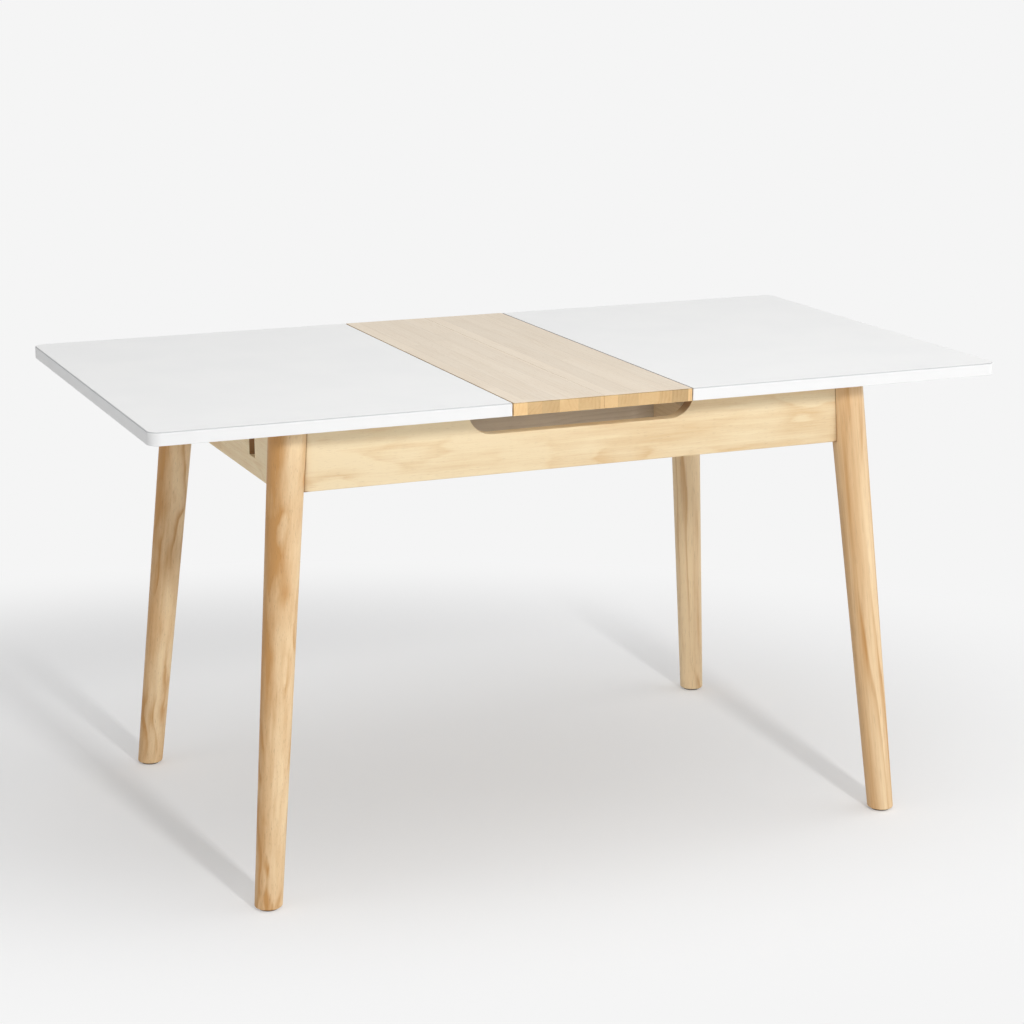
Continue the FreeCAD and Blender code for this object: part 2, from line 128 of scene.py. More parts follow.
def buildWoodGrain():
    # growth rings are circles round the x axis whose centre wanders along the board;
    # each ring darkens slowly and ends quickly, and fibres and pores run lengthwise over it
    tree, given, result = newGroup(
        "woodGrain",
        {"Vector": "vector", "Ring width": "value", "Wander": "value", "Ring depth": "value",
         "Fibre depth": "value", "Patch depth": "value", "Tone shift": "value", "Pore depth": "value",
         "Pale": "colour", "Dark": "colour", "Pore": "colour"},
        {"Colour": "colour", "Roughness": "value", "Height": "value"})
    vector = given["Vector"]
    slow = noiseAt(tree, vector, grainPattern["wander"], output="Color")
    slow = calcVector(tree, "SUBTRACT", slow, (0.5, 0.5, 0.5))
    moved = calcVector(tree, "ADD", vector, calcVector(tree, "SCALE", slow, given["Wander"]))
    reach = calcVector(tree, "LENGTH", calcVector(tree, "MULTIPLY", moved, (0, 1, 1)))
    jitter = noiseAt(tree, vector, grainPattern["jitter"], detail=3.0)
    jitter = calc(tree, "MULTIPLY", jitter, grainPattern["jitterDepth"])
    turn = calc(tree, "FRACT", calc(tree, "ADD", calc(tree, "DIVIDE", reach, given["Ring width"]), jitter))
    tooth = calc(tree, "MINIMUM", calc(tree, "POWER", turn, grainPattern["ringRise"]),
                 calc(tree, "DIVIDE", calc(tree, "SUBTRACT", 1.0, turn), grainPattern["ringFall"]))
    strength = spread(tree, noiseAt(tree, vector, grainPattern["strength"]), *grainPattern["strengthRange"])
    rings = calc(tree, "MULTIPLY", spread(tree, tooth, 0.0, grainPattern["ringFull"]), strength)
    rings = calc(tree, "MULTIPLY", rings, given["Ring depth"])
    fibre = noiseAt(tree, vector, grainPattern["fibre"], detail=4.0,
                    roughness=grainPattern["fibreCrispness"])
    patchPlace = calcVector(tree, "ADD", vector, grainPattern["patchShift"])
    patch = noiseAt(tree, patchPlace, grainPattern["patch"], detail=3.0)
    streakPlace = calcVector(tree, "ADD", vector, grainPattern["streakShift"])
    streak = noiseAt(tree, streakPlace, grainPattern["streak"])
    lengthwise = calc(tree, "SUBTRACT", calc(tree, "ADD", fibre, streak), 1.0)
    patchy = calc(tree, "MULTIPLY", calc(tree, "SUBTRACT", patch, 0.5), given["Patch depth"])
    tone = calc(tree, "ADD", rings, calc(tree, "MULTIPLY", lengthwise, given["Fibre depth"]))
    tone = calc(tree, "ADD", calc(tree, "ADD", tone, patchy), given["Tone shift"])
    tone = spread(tree, tone, *grainPattern["toneRange"], smooth=False)
    pore = spread(tree, noiseAt(tree, vector, grainPattern["pore"], detail=1.0), *grainPattern["poreRange"])
    poreShare = calc(tree, "MULTIPLY", pore, given["Pore depth"])
    plain = blendColours(tree, tone, given["Pale"], given["Dark"])
    feed(tree, result["Colour"], blendColours(tree, poreShare, plain, given["Pore"]))
    dull = spread(tree, fibre, *grainPattern["fibreRange"], *grainPattern["roughness"])
    dull = calc(tree, "ADD", dull, calc(tree, "MULTIPLY", pore, grainPattern["poreRoughness"]))
    feed(tree, result["Roughness"], dull)
    raised = calc(tree, "MULTIPLY", fibre, grainPattern["fibreHeight"])
    feed(tree, result["Height"], calc(tree, "SUBTRACT", raised, pore))
    return tree


finishPattern = {"cloudShare": 0.7, "pebbleShare": 0.3, "toneRange": (0.35, 0.65), "cloudRange": (0.3, 0.7)}


def buildFineFinish():
    # a cloudy change between two tones over a fine pebbled surface, for lacquer, metal and plastic
    tree, given, result = newGroup(
        "fineFinish",
        {"Vector": "vector", "Cloud": "vector", "Pebble": "vector", "First": "colour", "Second": "colour",
         "Smooth": "value", "Rough": "value"},
        {"Colour": "colour", "Roughness": "value", "Height": "value"})
    cloud = noiseAt(tree, given["Vector"], given["Cloud"], detail=3.0)
    pebble = noiseAt(tree, given["Vector"], given["Pebble"])
    tone = calc(tree, "ADD", calc(tree, "MULTIPLY", cloud, finishPattern["cloudShare"]),
                calc(tree, "MULTIPLY", pebble, finishPattern["pebbleShare"]))
    tone = spread(tree, tone, *finishPattern["toneRange"])
    feed(tree, result["Colour"], blendColours(tree, tone, given["First"], given["Second"]))
    feed(tree, result["Roughness"],
         spread(tree, cloud, *finishPattern["cloudRange"], given["Smooth"], given["Rough"]))
    feed(tree, result["Height"], pebble)
    return tree


woodGrain = buildWoodGrain()
fineFinish = buildFineFinish()


def newMaterial(name):
    material = bpy.data.materials.new(name)
    material.use_nodes = True
    return material, material.node_tree, material.node_tree.nodes["Principled BSDF"]


def placeGroup(tree, group, values):
    node = addNode(tree, "ShaderNodeGroup", node_tree=group)
    for label, value in values.items():
        feed(tree, node.inputs[label], value)
    return node.outputs


relief = {"wood": 0.0003, "finish": 0.0002}  # how deep the grain and the pebbled surface are


def addBump(tree, shader, height, strength, distance):
    bump = addNode(tree, "ShaderNodeBump")
    feed(tree, bump.inputs["Height"], height)
    feed(tree, bump.inputs["Strength"], strength)
    feed(tree, bump.inputs["Distance"], distance)
    feed(tree, shader.inputs["Normal"], bump.outputs["Normal"])


def ownCoordinates(tree, centre, axis):
    # object coordinates measured from the heart of the board, turned so that x runs with its grain
    point = addNode(tree, "ShaderNodeTexCoord").outputs["Object"]
    shifted = calcVector(tree, "SUBTRACT", point, centre)
    turns = {"x": (0, 0, 0), "y": (0, 0, -math.pi / 2), "z": (0, math.pi / 2, 0),
             "rising": (0, 0, -math.pi / 4), "falling": (0, 0, math.pi / 4)}
    turned = addNode(tree, "ShaderNodeMapping", vector_type="POINT")
    feed(tree, turned.inputs["Vector"], shifted)
    feed(tree, turned.inputs["Rotation"], turns[axis])
    return turned.outputs["Vector"]


def placeGrain(tree, vector, wood):
    return placeGroup(tree, woodGrain, {
        "Vector": vector, "Ring width": wood["ringWidth"], "Wander": wood["wander"],
        "Ring depth": wood["ringDepth"], "Fibre depth": wood["fibreDepth"],
        "Patch depth": wood["patchDepth"], "Tone shift": wood["toneShift"],
        "Pore depth": wood["poreDepth"],
        "Pale": (*wood["pale"], 1), "Dark": (*wood["dark"], 1), "Pore": (*wood["pore"], 1)})


def finishWood(tree, shader, vector, wood):
    grain = placeGrain(tree, vector, wood)
    feed(tree, shader.inputs["Base Color"], grain["Colour"])
    feed(tree, shader.inputs["Roughness"], grain["Roughness"])
    shader.inputs["Specular IOR Level"].default_value = wood["sheen"]
    addBump(tree, shader, grain["Height"], wood["bump"], relief["wood"])
    return grain


def boardMaterial(name, wood, centre, axis):
    material, tree, shader = newMaterial(name)
    finishWood(tree, shader, ownCoordinates(tree, centre, axis), wood)
    return material


legWood = {"ringWidth": 0.016, "wander": 0.08, "ringDepth": 1.0, "fibreDepth": 0.5, "patchDepth": 1.5,
           "poreDepth": 0.4, "pale": (0.92, 0.70, 0.43), "dark": (0.585, 0.305, 0.104),
           "pore": (0.30, 0.16, 0.07), "bump": 0.25, "sheen": 0.3, "coat": 0.12, "coatRoughness": 0.4}


def legMaterial():
    # the leg's mesh carries its place in the log and how dark it is: heartwood tone, with painted shade on
    # the side turned from the key lamp and higher up under the top, and painted light on the back right leg
    material, tree, shader = newMaterial("turnedLegWood")
    grain = addNode(tree, "ShaderNodeAttribute", attribute_name="grain")
    heartwoodAndShade = addNode(tree, "ShaderNodeAttribute", attribute_name="heartwoodAndShade")
    finishWood(tree, shader, grain.outputs["Vector"], {**legWood, "toneShift": heartwoodAndShade.outputs["Fac"]})
    shader.inputs["Coat Weight"].default_value = legWood["coat"]
    shader.inputs["Coat Roughness"].default_value = legWood["coatRoughness"]
    return material


# the shaded side is the way, in degrees, of the side painted darker as shade on every leg
legShape = {"topRadius": 0.0286, "footRadius": 0.0212, "topCentre": (0.4693, 0.2852, 0.73),
            "footCentre": (0.5343, 0.3444, 0.0), "easing": 0.003, "easingSteps": 7,
            "around": 96, "levels": 40, "shadedSide": 157, "paleUpTo": -0.45, "darkFrom": 0.8}
apronWood = {"ringWidth": 0.016, "wander": 0.09, "ringDepth": 0.5, "fibreDepth": 0.7, "patchDepth": 1.4,
             "poreDepth": 0.3, "pale": (0.89, 0.73, 0.478), "dark": (0.69, 0.44, 0.20),
             "pore": (0.40, 0.24, 0.11), "bump": 0.2, "sheen": 0.3}
apronJoint = {"endGrain": (0.29, 0.14, 0.05), "endRange": (0.25, 0.9), "endShare": 0.92,
              "lineWidth": 0.0022, "lineShade": (0.34, 0.20, 0.09),
              "boardEnds": (-0.45, 0.2), "endTones": (-0.3, 0.0)}


def apronMaterial(name, centre, axis):
    # board wood, a little paler towards one end, darker where the grain is cut across, and along the
    # line where it enters a leg a dark joint line with painted shade: there the distance to the leg's axis
    # is the cone's radius at that height
    material, tree, shader = newMaterial(name)
    texture = addNode(tree, "ShaderNodeTexCoord")
    place = addNode(tree, "ShaderNodeSeparateXYZ")
    feed(tree, place.inputs[0], texture.outputs["Object"])
    along = spread(tree, place.outputs[axis.upper()], *apronJoint["boardEnds"], *apronJoint["endTones"])
    grain = finishWood(tree, shader, ownCoordinates(tree, centre, axis), {**apronWood, "toneShift": along})
    facing = addNode(tree, "ShaderNodeSeparateXYZ")
    feed(tree, facing.inputs[0], texture.outputs["Normal"])
    endwise = calc(tree, "ABSOLUTE", facing.outputs[axis.upper()])
    cutAcross = spread(tree, endwise, *apronJoint["endRange"], 0.0, apronJoint["endShare"])
    colour = blendColours(tree, cutAcross, grain["Colour"], (*apronJoint["endGrain"], 1))
    foot = np.array(legShape["footCentre"])
    rise = np.array(legShape["topCentre"]) - foot
    lean = rise / np.linalg.norm(rise)
    away = calcVector(tree, "SUBTRACT", calcVector(tree, "ABSOLUTE", texture.outputs["Object"]), tuple(foot))
    toAxis = calcVector(tree, "LENGTH", calcVector(tree, "CROSS_PRODUCT", away, tuple(lean)))
    taper = (legShape["topRadius"] - legShape["footRadius"]) / rise[2]
    radius = calc(tree, "MULTIPLY_ADD", place.outputs["Z"], taper, legShape["footRadius"])
    # a dark joint line with painted shade, where the apron meets the leg without a gap
    line = spread(tree, calc(tree, "SUBTRACT", toAxis, radius), 0.0, apronJoint["lineWidth"], 1.0, 0.0)
    colour = blendColours(tree, line, colour, (*apronJoint["lineShade"], 1))
    feed(tree, shader.inputs["Base Color"], colour)
    return material


leafWood = {"ringWidth": 0.007, "wander": 0.05, "ringDepth": 0.4, "fibreDepth": 0.45, "patchDepth": 0.5,
            "toneShift": 0.0, "poreDepth": 0.3, "pale": (0.90, 0.80, 0.668), "dark": (0.77, 0.637, 0.49),
            "pore": (0.50, 0.36, 0.22), "bump": 0.15, "sheen": 0.35}
leafEndWood = {"ringWidth": 0.006, "wander": 0.02, "ringDepth": 0.5, "fibreDepth": 0.3, "patchDepth": 0.6,
               "toneShift": 0.0, "poreDepth": 0.4, "pale": (1.0, 0.71, 0.366), "dark": (0.72, 0.40, 0.16),
               "pore": (0.72, 0.40, 0.16)}
leafStaves = {"width": 0.030, "length": 0.36, "uneven": 0.75, "slip": 7.0,
              "logAlong": 5.0, "logAcross": 0.3, "logDepth": 0.06, "heartHeight": 0.80,
              "topTone": 0.1, "endTone": 0.47, "staveShare": 0.6, "lengthShare": 0.4,
              "jointWidth": 0.014, "jointShade": 0.8, "edgeRange": (0.85, 0.45),
              "arrisHeights": (0.7480, 0.7492), "arrisShade": 0.62, "matt": 0.2}


def leafMaterial():
    # staves of uneven width lie side by side along y, each butted from shorter lengths,
    # with its own tone and its own place in the log; their cut ends show on the leaf's edge
    material, tree, shader = newMaterial("leafStaves")
    texture = addNode(tree, "ShaderNodeTexCoord")
    split = addNode(tree, "ShaderNodeSeparateXYZ")
    feed(tree, split.inputs[0], texture.outputs["Object"])
    x, y, z = split.outputs

    def cells(along, size, feature="F1"):
        node = addNode(tree, "ShaderNodeTexVoronoi", voronoi_dimensions="1D", feature=feature)
        feed(tree, node.inputs["W"], calc(tree, "DIVIDE", along, size))
        feed(tree, node.inputs["Scale"], 1.0)
        feed(tree, node.inputs["Randomness"], leafStaves["uneven"])
        return node.outputs

    def ownTones(along, size):
        node = addNode(tree, "ShaderNodeSeparateColor")
        feed(tree, node.inputs[0], cells(along, size)["Color"])
        return node.outputs

    def moveBy(start, tone, distance):
        return calc(tree, "ADD", start, calc(tree, "MULTIPLY", tone, distance))

    stave = ownTones(x, leafStaves["width"])
    length = ownTones(moveBy(y, stave["Red"], leafStaves["slip"]), leafStaves["length"])
    fromLog = addNode(tree, "ShaderNodeCombineXYZ")
    feed(tree, fromLog.inputs["X"], moveBy(y, length["Green"], leafStaves["logAlong"]))
    feed(tree, fromLog.inputs["Y"], moveBy(x, stave["Blue"], leafStaves["logAcross"]))
    overHeart = calc(tree, "SUBTRACT", z, leafStaves["heartHeight"])
    feed(tree, fromLog.inputs["Z"], moveBy(overHeart, length["Red"], leafStaves["logDepth"]))
    top = finishWood(tree, shader, fromLog.outputs["Vector"], leafWood)
    feed(tree, shader.inputs["Roughness"], calc(tree, "ADD", top["Roughness"], leafStaves["matt"]))
    cutEnd = placeGrain(tree, fromLog.outputs["Vector"], leafEndWood)
    facing = addNode(tree, "ShaderNodeSeparateXYZ")
    feed(tree, facing.inputs[0], texture.outputs["Normal"])
    edge = spread(tree, calc(tree, "ABSOLUTE", facing.outputs["Z"]), *leafStaves["edgeRange"])
    colour = blendColours(tree, edge, top["Colour"], cutEnd["Colour"])
    shift = calc(tree, "ADD", calc(tree, "MULTIPLY", stave["Green"], leafStaves["staveShare"]),
                 calc(tree, "MULTIPLY", length["Blue"], leafStaves["lengthShare"]))
    depth = spread(tree, edge, 0.0, 1.0, leafStaves["topTone"], leafStaves["endTone"], smooth=False)
    shade = calc(tree, "SUBTRACT", 1.0, calc(tree, "MULTIPLY", shift, depth))
    fromJoint = cells(x, leafStaves["width"], "DISTANCE_TO_EDGE")["Distance"]
    joint = spread(tree, fromJoint, 0.0, leafStaves["jointWidth"], leafStaves["jointShade"], 1.0)
    arris = calc(tree, "MULTIPLY", edge, spread(tree, z, *leafStaves["arrisHeights"]))
    shade = calc(tree, "MULTIPLY", shade, joint)
    shade = calc(tree, "MULTIPLY", shade, spread(tree, arris, 0.0, 1.0, 1.0, leafStaves["arrisShade"]))
    tint = addNode(tree, "ShaderNodeCombineColor")
    for label in ("Red", "Green", "Blue"):
        feed(tree, tint.inputs[label], shade)
    toned = addNode(tree, "ShaderNodeMix", data_type="RGBA", blend_type="MULTIPLY")
    feed(tree, toned.inputs["Factor"], 1.0)
    feed(tree, toned.inputs["A"], colour)
    feed(tree, toned.inputs["B"], tint.outputs["Color"])
    feed(tree, shader.inputs["Base Color"], toned.outputs["Result"])
    return material


def placeFinish(tree, look):
    point = addNode(tree, "ShaderNodeTexCoord").outputs["Object"]
    return placeGroup(tree, fineFinish, {
        "Vector": point, "Cloud": look["cloud"], "Pebble": look["pebble"], "First": (*look["first"], 1),
        "Second": (*look["second"], 1), "Smooth": look["smooth"], "Rough": look["rough"]})


lacquerLook = {"cloud": (9, 9, 9), "pebble": (700, 700, 700), "first": (0.885, 0.885, 0.88),
               "second": (0.87, 0.872, 0.87), "smooth": 0.44, "rough": 0.52, "bump": 0.04,
               "arrisGrey": (0.54, 0.545, 0.55), "arrisGreyRange": (0.45, 0.85), "arrisGreyShare": 0.9}


def lacquerMaterial():
    # pale lacquer with a faint orange peel, and a grey line along the middle of the upper arris
    material, tree, shader = newMaterial("whiteLacquer")
    finish = placeFinish(tree, lacquerLook)
    arris = addNode(tree, "ShaderNodeAttribute", attribute_name="arris")
    line = spread(tree, arris.outputs["Fac"], *lacquerLook["arrisGreyRange"], 0.0, lacquerLook["arrisGreyShare"])
    colour = blendColours(tree, line, finish["Colour"], (*lacquerLook["arrisGrey"], 1))
    feed(tree, shader.inputs["Base Color"], colour)
    feed(tree, shader.inputs["Roughness"], calc(tree, "MAXIMUM", finish["Roughness"], line))
    addBump(tree, shader, finish["Height"], lacquerLook["bump"], relief["finish"])
    return material


def plainFinish(name, look):
    material, tree, shader = newMaterial(name)
    finish = placeFinish(tree, look)
    feed(tree, shader.inputs["Base Color"], finish["Colour"])
    feed(tree, shader.inputs["Roughness"], finish["Roughness"])
    shader.inputs["Metallic"].default_value = look["metal"]
    addBump(tree, shader, finish["Height"], look["bump"], relief["finish"])
    return material


steelLook = {"cloud": (60, 60, 60), "pebble": (900, 900, 2500), "first": (0.62, 0.62, 0.61),
             "second": (0.50, 0.50, 0.50), "smooth": 0.25, "rough": 0.42, "metal": 1.0, "bump": 0.12}
brassLook = {"cloud": (90, 90, 90), "pebble": (1500, 1500, 1500), "first": (0.80, 0.62, 0.30),
             "second": (0.66, 0.48, 0.22), "smooth": 0.22, "rough": 0.4, "metal": 1.0, "bump": 0.1}
nylonLook = {"cloud": (120, 120, 120), "pebble": (1800, 1800, 1800), "first": (0.80, 0.79, 0.75),
             "second": (0.72, 0.71, 0.67), "smooth": 0.42, "rough": 0.55, "metal": 0.0, "bump": 0.15}
glideLook = {"cloud": (150, 150, 150), "pebble": (2500, 2500, 2500), "first": (0.10, 0.085, 0.07),
             "second": (0.06, 0.05, 0.045), "smooth": 0.5, "rough": 0.7, "metal": 0.0, "bump": 0.3}
print("materials described")


def addPiece(mesh):
    mesh.shade_smooth()
    piece = bpy.data.objects.new(mesh.name, mesh)
    bpy.context.scene.collection.objects.link(piece)
    return piece


def skinGrid(name, points):
    # rows of the grid run along the piece and columns go round it: each cell is a quad,
    # and a flat face closes the first and the last row
    rows, columns = points.shape[:2]
    number = np.arange(rows * columns).reshape(rows, columns)
    beside = np.roll(number, -1, axis=1)
    quads = np.stack([number[:-1], beside[:-1], beside[1:], number[1:]], axis=-1).reshape(-1, 4)
    spots = points.reshape(-1, 3)
    a, b, c, d = (spots[quads[:, k]] - spots.mean(axis=0) for k in range(4))
    outward = np.sum(a * np.cross(b, c) + a * np.cross(c, d)) > 0  # the sign of the volume
    faces = (quads if outward else quads[:, ::-1]).tolist()
    firstRow, lastRow = number[0].tolist(), number[-1].tolist()
    faces += [firstRow[::-1], lastRow] if outward else [firstRow, lastRow[::-1]]
    mesh = bpy.data.meshes.new(name)
    mesh.from_pydata(spots.tolist(), [], faces)
    return addPiece(mesh)


def addAttribute(piece, name, values):
    # one number or vector for each vertex, in the order of the grid
    single = values.ndim == 1
    layer = piece.data.attributes.new(name, "FLOAT" if single else "FLOAT_VECTOR", "POINT")
    layer.data.foreach_set("value" if single else "vector", values.astype(np.float32).ravel())


def settle(piece, body, slot, material, *replaced):
    # flat faces keep their flat shading beside rounded edges, and the piece takes the place of its nodes
    piece.modifiers.new("weightedNormals", "WEIGHTED_NORMAL").keep_sharp = True
    piece.data.materials.append(material)
    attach(piece, body)
    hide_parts(*replaced)


def quarter(steps):
    angle = np.linspace(0, math.pi / 2, steps)
    return np.sin(angle), np.cos(angle)


topHalf = {"cornerRadius": 0.018, "innerRadius": 0.0012, "over": 0.0025, "under": 0.001, "innerShare": 0.25,
           "arcSteps": 8, "cornerSteps": 13}


def makeTopHalf(side, sign, material):
    # a rounded rectangle is drawn in by the inset of each step of the edge profile: up round the
    # lower arris, up the edge and round the upper arris; the side by the leaf is drawn in less
    low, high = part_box("top_" + side)
    sine, cosine = quarter(topHalf["arcSteps"])
    inset = np.concatenate([topHalf["under"] * (1 - sine), topHalf["over"] * (1 - cosine)])
    height = np.concatenate([low.z + topHalf["under"] * (1 - cosine), high.z - topHalf["over"] * (1 - sine)])
    arris = np.concatenate([np.zeros_like(sine), 2 * sine * cosine])
    facing = np.array([(1, 1), (-1, 1), (-1, -1), (1, -1)])
    outer = facing[:, 0] == sign
    insetX = inset[:, None] * np.where(outer, 1, topHalf["innerShare"])
    radius = np.where(outer, topHalf["cornerRadius"], topHalf["innerRadius"]) - insetX
    corner = np.where(facing > 0, (high.x, high.y), (low.x, low.y))
    centreX = corner[:, 0] - facing[:, 0] * (insetX + radius)
    centreY = corner[:, 1] - facing[:, 1] * (inset[:, None] + radius)
    turn = np.arange(4)[:, None] * math.pi / 2 + np.linspace(0, math.pi / 2, topHalf["cornerSteps"])
    x = centreX[:, :, None] + radius[:, :, None] * np.cos(turn)
    y = centreY[:, :, None] + radius[:, :, None] * np.sin(turn)
    z = np.broadcast_to(height[:, None, None], x.shape)
    rings = np.stack([x, y, z], axis=-1).reshape(len(inset), -1, 3)
    piece = skinGrid("topHalf_" + side, rings)
    addAttribute(piece, "arris", np.repeat(arris, rings.shape[1]))
    settle(piece, side + "_half", "white_lacquer", material, "top_" + side)


# where each leg's heart lies off its axis, how fast it draws away going up, its place in the log, the
# stretch of its figure, and how much darker its heartwood side is, low and high, and then its other side;
# that darkness is heartwood tone and painted shade, more of it high up under the top, and below zero it
# is painted light, as on the back right leg
legHearts = {"front_left": {"heart": (-0.0342, -0.0200), "drift": 0.8, "along": 2.0, "stretch": 1.2,
                            "darker": (0.5, 1.0, 0.0)},
             "front_right": {"heart": (-0.022, -0.042), "drift": 0.0, "along": 3.3, "stretch": 0.3,
                             "darker": (0.2, 0.4, 0.0)},
             "back_left": {"heart": (0.014, 0.027), "drift": 0.0, "along": 7.1, "stretch": 1.3,
                           "darker": (0.3, 1.1, -0.05)},
             "back_right": {"heart": (-0.018, 0.054), "drift": 0.0, "along": 11.6, "stretch": 0.5,
                            "darker": (-0.5, -0.2, -0.2)}}


def makeLeg(corner, sign, across, material):
    # level sections of a leaning cone: ellipses whose centre and radius change evenly with height,
    # drawn in round the foot; the grain runs with the axis, about a heart set to one side
    low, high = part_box("leg_" + corner)
    sine, cosine = quarter(legShape["easingSteps"])
    straight = np.linspace(low.z + legShape["easing"], high.z, legShape["levels"])[1:]
    height = np.concatenate([low.z + legShape["easing"] * (1 - cosine), straight])
    inset = np.concatenate([legShape["easing"] * (1 - sine), np.zeros_like(straight)])
    mirror = np.array([sign, across, 1])
    foot = np.array(legShape["footCentre"]) * mirror
    head = np.array(legShape["topCentre"]) * mirror
    share = (height / head[2])[:, None]
    centre = foot + (head - foot) * share
    widening = legShape["topRadius"] - legShape["footRadius"]
    radius = legShape["footRadius"] + widening * share - inset[:, None]
    lean = (head - foot) / np.linalg.norm(head - foot)
    downhill = np.array([lean[0], lean[1], 0]) / math.hypot(lean[0], lean[1])
    aside = np.cross((0, 0, 1), downhill)
    angle = np.linspace(0, 2 * math.pi, legShape["around"], endpoint=False)
    ringX = radius[:, :, None] * np.cos(angle)[None, :, None] / lean[2] * downhill
    ringY = radius[:, :, None] * np.sin(angle)[None, :, None] * aside
    points = centre[:, None, :] + ringX + ringY
    piece = skinGrid("turnedLeg_" + corner, points)
    figure = legHearts[corner]
    away = points.reshape(-1, 3) - foot
    up = away @ lean
    aslant = np.stack([away @ np.cross(aside, lean), away @ aside], axis=1)
    aslant = aslant + np.array(figure["heart"]) * (1 + figure["drift"] * up[:, None])
    addAttribute(piece, "grain", np.column_stack([up * figure["stretch"] + figure["along"], aslant]))
    # painted shade: the side turned from the key lamp, the same way on every leg, is drawn darker, and more
    # so towards the top under the tabletop
    shadedSide = math.radians(legShape["shadedSide"])
    shadedWay = np.array([math.cos(shadedSide), math.sin(shadedSide), 0])
    towards = (points - centre[:, None, :]) @ shadedWay / radius
    part = np.clip((towards - legShape["paleUpTo"]) / (legShape["darkFrom"] - legShape["paleUpTo"]), 0, 1)
    lowDark, highDark, light = figure["darker"]
    dark = lowDark + (highDark - lowDark) * share
    addAttribute(piece, "heartwoodAndShade", (light + (dark - light) * part ** 2 * (3 - 2 * part)).ravel())
    settle(piece, "frame", "leg_wood", material, "leg_" + corner)


apronShape = {"scoopFlat": 0.15, "scoopRadius": 0.04, "underEasing": 0.002, "rimEasing": 0.0012,
              "bendSteps": 25, "flankSteps": 14, "floorSteps": 12, "easingSteps": 5}
apronHearts = {"front": (0.3, -0.19, 0.655), "back": (1.9, 0.21, 0.70),
               "left": (-0.40, 1.2, 0.66), "right": (0.39, 3.9, 0.69)}


def makeApron(end, material):
    # the section of the board, a rectangle with eased edges, is carried along the upper rim:
    # straight, down a quarter circle, along the scoop's floor, up again and straight
    name = end + "_apron"
    low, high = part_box(name)
    reach, bend = apronShape["scoopFlat"], apronShape["scoopRadius"]
    turn = np.linspace(0, math.pi / 2, apronShape["bendSteps"])[::-1]
    flank = np.linspace(high.x, reach + bend, apronShape["flankSteps"])[:-1]
    floor = np.linspace(reach, 0, apronShape["floorSteps"])[1:]
    rimX = np.concatenate([flank, reach + bend * np.sin(turn), floor])
    rimZ = np.concatenate([np.full_like(flank, high.z), high.z - bend * np.cos(turn),
                           np.full_like(floor, high.z - bend)])
    normalX = np.concatenate([np.zeros_like(flank), -np.sin(turn), np.zeros_like(floor)])
    normalZ = np.concatenate([np.ones_like(flank), np.cos(turn), np.ones_like(floor)])
    rimX, normalX = (np.concatenate([row, -row[-2::-1]]) for row in (rimX, normalX))  # the other half
    rimZ, normalZ = (np.concatenate([row, row[-2::-1]]) for row in (rimZ, normalZ))
    sine, cosine = quarter(apronShape["easingSteps"])
    rim, under = apronShape["rimEasing"], apronShape["underEasing"]
    upDrop = np.concatenate([rim * (1 - sine), rim * (1 - sine)[::-1]])
    upY = np.concatenate([low.y + rim * (1 - cosine), high.y - rim * (1 - cosine)[::-1]])
    downRise = np.concatenate([under * (1 - sine), under * (1 - sine)[::-1]])
    downY = np.concatenate([high.y - under * (1 - cosine), low.y + under * (1 - cosine)[::-1]])
    upX = rimX[:, None] - normalX[:, None] * upDrop
    upZ = rimZ[:, None] - normalZ[:, None] * upDrop
    downX = np.repeat(rimX[:, None], len(downRise), axis=1)
    downZ = np.broadcast_to(low.z + downRise, downX.shape)
    x = np.hstack([upX, downX])
    y = np.broadcast_to(np.concatenate([upY, downY]), x.shape)
    z = np.hstack([upZ, downZ])
    piece = skinGrid("apron_" + end, np.stack([x, y, z], axis=-1))
    settle(piece, "frame", "apron_wood", material, name)


lacquerWhite = lacquerMaterial()
turnedWood = legMaterial()
for side, sign in sides.items():
    makeTopHalf(side, sign, lacquerWhite)
    for end, across in ends.items():
        makeLeg("%s_%s" % (end, side), sign, across, turnedWood)
for end in ends:
    makeApron(end, apronMaterial("apronWood_" + end, apronHearts[end], "x"))
print("tops, legs and aprons made")


def dress(material, *names):
    for name in names:
        for slot in nodes[name].material_slots:
            slot.material = material


boardEasing = {"leaf": 0.0004, "apron": 0.0012, "inner": 0.0008, "segments": 3, "sharpFrom": 35,
               "mergeWithin": 1e-6, "flatWithin": 1}


def easeBoards(material, body, slotName, width, *names):
    # the board's own solid, merged, with its corners rounded off: a strip of the given width
    # takes the place of each edge where the surface turns sharply
    flat = math.radians(boardEasing["flatWithin"])
    for name in names:
        worker = bmesh.new()
        worker.from_mesh(nodes[name].data)
        bmesh.ops.remove_doubles(worker, verts=worker.verts, dist=boardEasing["mergeWithin"])
        bmesh.ops.dissolve_limit(worker, angle_limit=flat, verts=worker.verts, edges=worker.edges)
        mesh = bpy.data.meshes.new("eased_" + name)
        worker.to_mesh(mesh)
        worker.free()
        if "custom_normal" in mesh.attributes:  # the solid's own normals no longer fit
            mesh.attributes.remove(mesh.attributes["custom_normal"])
        piece = addPiece(mesh)
        easing = piece.modifiers.new("easing", "BEVEL")
        easing.width = width
        easing.segments = boardEasing["segments"]
        easing.limit_method = "ANGLE"
        easing.angle_limit = math.radians(boardEasing["sharpFrom"])
        settle(piece, body, slotName, material, name)


